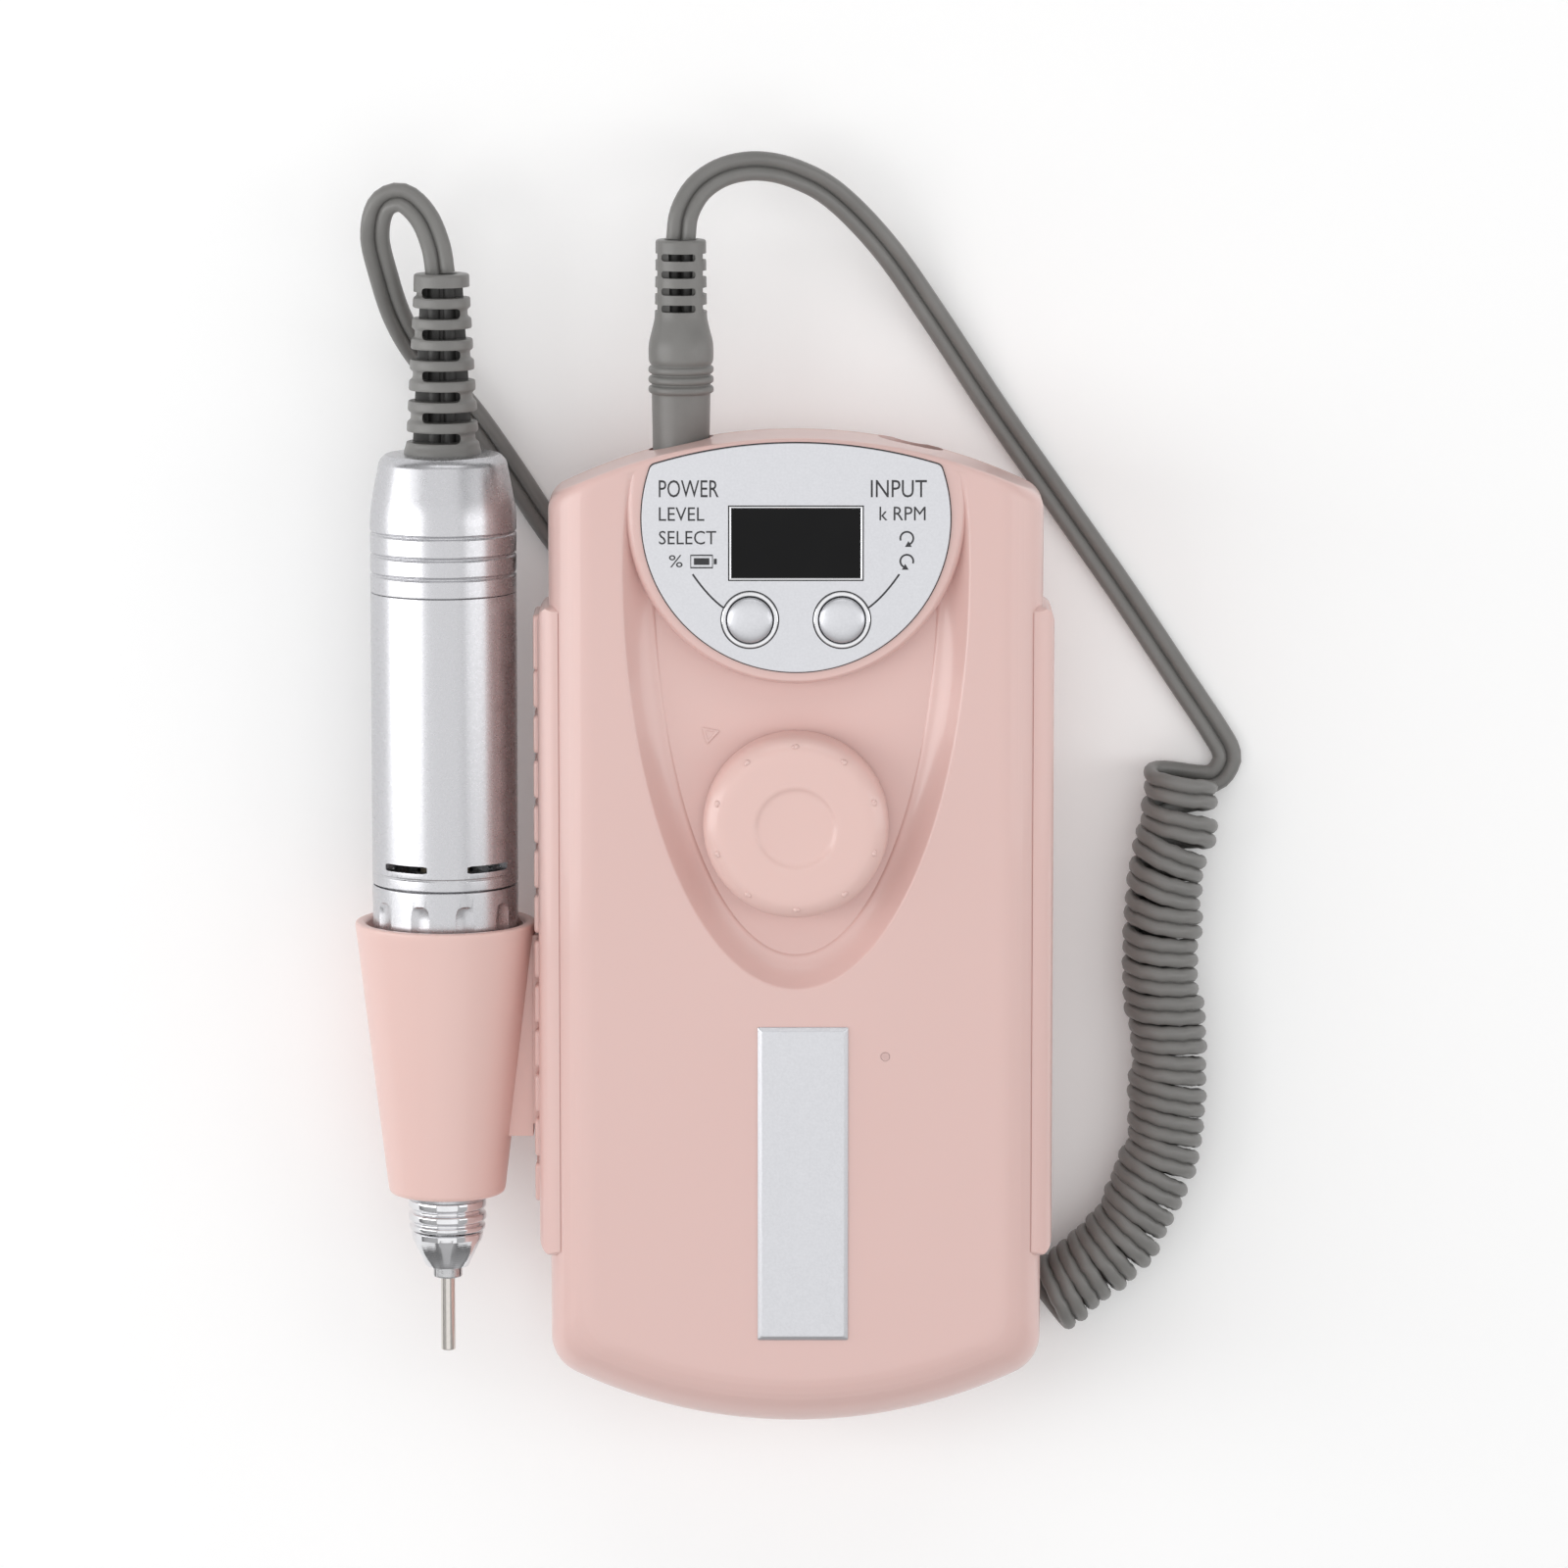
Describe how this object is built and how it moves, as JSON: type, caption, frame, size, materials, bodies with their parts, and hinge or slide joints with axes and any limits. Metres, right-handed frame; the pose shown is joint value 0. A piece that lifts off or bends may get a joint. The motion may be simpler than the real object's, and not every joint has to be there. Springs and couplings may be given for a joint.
{
  "type": "electric nail drill",
  "caption": "Portable electric nail drill: battery control unit with dial, display and buttons, side holder with lift-out handpiece, and a curly lead between them.",
  "frame": {"origin": "centre of the object's footprint, without its lead, on the surface that it lies on", "axes": "+Z out of the control unit's front face, +Y towards its socket end, +X to the right seen from the front"},
  "size_m": [0.1456, 0.2076, 0.039],
  "materials": {
    "shell_plastic": "glossy moulded pink",
    "knob_plastic": "glossy moulded pink",
    "satin_plate": "satin",
    "display_glass": "gloss black",
    "bright_metal": "polished",
    "anodised_aluminium": "satin, fine grain",
    "grey_rubber": "matt",
    "black_rubber": "matt",
    "circuit_board": "solder mask",
    "black_plastic": "moulded",
    "cell_wrap": "shrink film",
    "wire_red": "insulated wire",
    "led_plastic": "diffusing",
    "steel": "turned",
    "ferrite": "sintered",
    "carbon": "pressed carbon",
    "copper_winding": "copper",
    "coupling_plastic": "moulded"
  },
  "bodies": {
    "case": {"front_shell": "shell_plastic", "rear_shell": "shell_plastic", "face_plate": "satin_plate", "display_window": "display_glass", "display_module": "circuit_board", "button_bezels": "bright_metal", "tact_switches": "black_plastic", "potentiometer": "steel", "main_board": "circuit_board", "battery_cells": "cell_wrap", "battery_tray": "black_plastic", "battery_strips": "bright_metal", "battery_leads": "wire_red", "name_plate": "satin_plate", "charge_led": "led_plastic", "left_rail": "shell_plastic", "right_rail": "shell_plastic", "output_socket": "black_plastic", "charge_socket": "black_plastic", "case_screws": "steel", "rubber_feet": "black_rubber", "plug_body": "grey_rubber", "plug_barrel": "bright_metal", "cord_under_case": "grey_rubber", "cord_coil": "grey_rubber", "cord_plug_lead": "grey_rubber"},
    "knob": {"speed_knob": "knob_plastic", "potentiometer_shaft": "steel"},
    "left_button": {"left_button": "satin_plate"},
    "right_button": {"right_button": "satin_plate"},
    "holder": {"handpiece_holder": "shell_plastic"},
    "handpiece": {"strain_relief": "grey_rubber", "tail_cap": "anodised_aluminium", "barrel": "anodised_aluminium", "motor_can": "steel", "field_magnets": "ferrite", "motor_brushes": "carbon", "motor_bearings": "bright_metal", "spindle_bearings": "bright_metal", "bearing_tube": "anodised_aluminium", "cord_loop": "grey_rubber"},
    "grip": {"grip_sleeve": "anodised_aluminium", "nose_ring": "bright_metal"},
    "rotor": {"rotor_core": "copper_winding", "commutator": "copper_winding", "motor_shaft": "steel", "cooling_fan": "black_plastic", "shaft_coupling": "coupling_plastic", "spindle": "steel", "collet_nut": "bright_metal", "collet": "steel", "bit_shank": "bright_metal"}
  },
  "joints": [
    {"name": "knob_turn", "type": "hinge", "parent": "case", "child": "knob", "pos_m": [0.01512, 0.00615, 0.035], "axis": [0, 0, -1], "range_deg": [0, 280]},
    {"name": "left_button_press", "type": "slide", "parent": "case", "child": "left_button", "axis": [0, 0, -1], "range_m": [0, 0.0006], "stiffness_N_per_m": 1200, "springref_m": -0.0004},
    {"name": "right_button_press", "type": "slide", "parent": "case", "child": "right_button", "axis": [0, 0, -1], "range_m": [0, 0.0006], "stiffness_N_per_m": 1200, "springref_m": -0.0004},
    {"name": "holder_slide", "type": "slide", "parent": "case", "child": "holder", "axis": [0, 1, 0], "range_m": [-0.0148, 0.037]},
    {"name": "handpiece_lift", "type": "slide", "parent": "holder", "child": "handpiece", "axis": [0, 1, 0], "range_m": [0, 0.075]},
    {"name": "grip_twist", "type": "hinge", "parent": "handpiece", "child": "grip", "pos_m": [-0.04217, -0.01265, 0.02], "axis": [0, 1, 0], "range_deg": [0, 45]},
    {"name": "spindle_spin", "type": "hinge", "parent": "handpiece", "child": "rotor", "pos_m": [-0.04217, -0.01265, 0.02], "axis": [0, 1, 0], "continuous": true}
  ]
}
